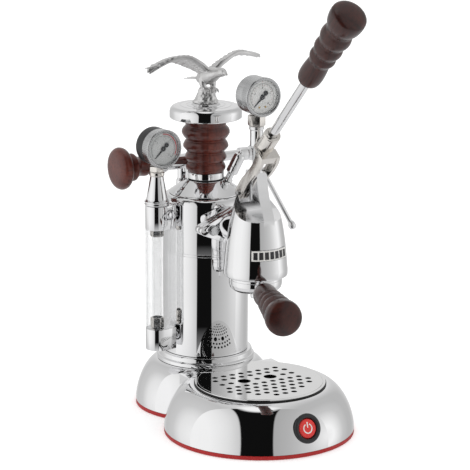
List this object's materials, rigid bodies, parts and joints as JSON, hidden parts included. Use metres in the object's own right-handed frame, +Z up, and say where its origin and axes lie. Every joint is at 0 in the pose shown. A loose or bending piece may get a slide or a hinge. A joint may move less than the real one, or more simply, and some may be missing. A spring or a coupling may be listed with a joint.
{
  "type": "lever espresso machine",
  "caption": "Chromed manual lever espresso machine: upright boiler with turned wooden cap, sight glass, pressure gauges, piston group, filter holder, steam wand and drip tray.",
  "frame": {"origin": "on the surface the machine stands on, under the boiler's axis", "axes": "+Z up along the boiler's axis; the group, the lever and the drip tray lie towards -Y; +X is to the right of a person who stands in front of the machine"},
  "size_m": [0.22, 0.3697, 0.4736],
  "materials": {
    "chrome": "polished",
    "steel": "brushed",
    "nickel": "satin nickel plate",
    "brass": "machined",
    "wood": "satin varnish",
    "black_plastic": "satin",
    "tray_black": "matt",
    "red_plastic": "satin",
    "red_trim": "matt",
    "seal": "matt",
    "clear": "clear",
    "dial": "matt",
    "needle": "matt"
  },
  "bodies": {
    "machine": {"base_shell": "chrome", "base_trim": "red_trim", "bottom_plate": "black_plastic", "power_cable_gland": "black_plastic", "power_bezel": "black_plastic", "boiler_foot_ring": "chrome", "boiler_tube": "chrome", "boiler_shoulder": "chrome", "base_screw": "steel", "heating_element": "steel", "sight_block_upper": "chrome", "sight_block_lower": "chrome", "sight_glass_tube": "clear", "sight_cover": "clear", "gauge_post": "chrome", "boiler_gauge_nut": "nickel", "boiler_gauge_case": "steel", "boiler_gauge_dial": "dial", "boiler_gauge_lens": "clear", "steam_tap_body": "chrome", "safety_valve": "chrome", "group_bell": "chrome", "group_flange": "chrome", "flange_bolt_left": "steel", "flange_bolt_right": "steel", "group_sleeve": "brass", "group_gasket": "seal", "shower_screen": "steel", "group_badge": "steel"},
    "power_button": {"power_button": "red_plastic"},
    "drip_tray": {"drip_tray": "tray_black", "drip_tray_floor": "tray_black"},
    "drip_grid": {"drip_grid": "steel"},
    "filler_cap": {"cap_ring": "chrome", "cap_barrel": "wood", "cap_disc": "chrome", "cap_bird": "chrome"},
    "boiler_needle": {"boiler_gauge_needle": "needle"},
    "steam_knob": {"steam_spindle": "brass", "steam_knob": "wood"},
    "wand_joint": {"wand_joint": "chrome"},
    "steam_wand": {"steam_wand": "chrome"},
    "lever": {"lever_fork": "nickel", "lever_pivot_pin": "steel", "lever_tube": "chrome", "lever_handle": "wood"},
    "piston": {"piston": "brass", "piston_seal": "seal", "piston_rod": "steel", "rod_cross_pin": "steel", "rod_end_post": "chrome", "group_gauge_nut": "nickel", "group_gauge_case": "steel", "group_gauge_dial": "dial", "group_gauge_lens": "clear"},
    "group_needle": {"group_gauge_needle": "needle"},
    "filter_basket": {"filter_basket": "steel"},
    "filter_holder": {"filter_holder": "chrome", "filter_holder_handle": "wood"},
    "cap_gasket": {"cap_gasket": "seal"}
  },
  "joints": [
    {"name": "lever_swing", "type": "hinge", "parent": "machine", "child": "lever", "pos_m": [0, -0.086, 0.251], "axis": [1, 0, 0], "range_deg": [-5, 53]},
    {"name": "piston_stroke", "type": "slide", "parent": "machine", "child": "piston", "axis": [0, 0, 1], "range_m": [-0.0236, 0.0024]},
    {"name": "group_needle_turn", "type": "hinge", "parent": "piston", "child": "group_needle", "pos_m": [0, -0.12, 0.356], "axis": [0, 1, 0], "range_deg": [0, 270], "stiffness_Nm_per_rad": 0.0001},
    {"name": "boiler_needle_turn", "type": "hinge", "parent": "machine", "child": "boiler_needle", "pos_m": [-0.065, -0.0297, 0.292], "axis": [0, 1, 0], "range_deg": [0, 270], "stiffness_Nm_per_rad": 0.0001},
    {"name": "holder_drop", "type": "slide", "parent": "machine", "child": "filter_basket", "axis": [0, 0, -1], "range_m": [0, 0.028]},
    {"name": "holder_turn", "type": "hinge", "parent": "filter_basket", "child": "filter_holder", "pos_m": [0, -0.104, 0.157], "axis": [0, 0, 1], "range_deg": [-30, 20]},
    {"name": "steam_knob_turn", "type": "hinge", "parent": "machine", "child": "steam_knob", "pos_m": [-0.075, 0.03, 0.263], "axis": [-1, 0, 0], "range_deg": [0, 540]},
    {"name": "wand_swivel", "type": "hinge", "parent": "machine", "child": "wand_joint", "pos_m": [0.077, 0.03, 0.263], "axis": [1, 0, 0], "range_deg": [-30, 40]},
    {"name": "wand_tilt", "type": "hinge", "parent": "wand_joint", "child": "steam_wand", "pos_m": [0.077, 0.03, 0.263], "axis": [0, 1, 0], "range_deg": [-11, 10]},
    {"name": "cap_lift", "type": "slide", "parent": "machine", "child": "cap_gasket", "axis": [0, 0, 1], "range_m": [0, 0.05]},
    {"name": "cap_turn", "type": "hinge", "parent": "cap_gasket", "child": "filler_cap", "pos_m": [0, 0, 0.25], "axis": [0, 0, 1], "continuous": true},
    {"name": "button_press", "type": "slide", "parent": "machine", "child": "power_button", "axis": [0, 0.9511, -0.309], "range_m": [0, 0.0025], "stiffness_N_per_m": 400},
    {"name": "tray_lift", "type": "slide", "parent": "machine", "child": "drip_tray", "axis": [0, 0, 1], "range_m": [0, 0.03]},
    {"name": "grid_lift", "type": "slide", "parent": "drip_tray", "child": "drip_grid", "axis": [0, 0, 1], "range_m": [0, 0.02]}
  ],
  "couplings": [
    {"joint": "piston_stroke", "follows": "lever_swing", "m_per_rad": -0.0244}
  ]
}
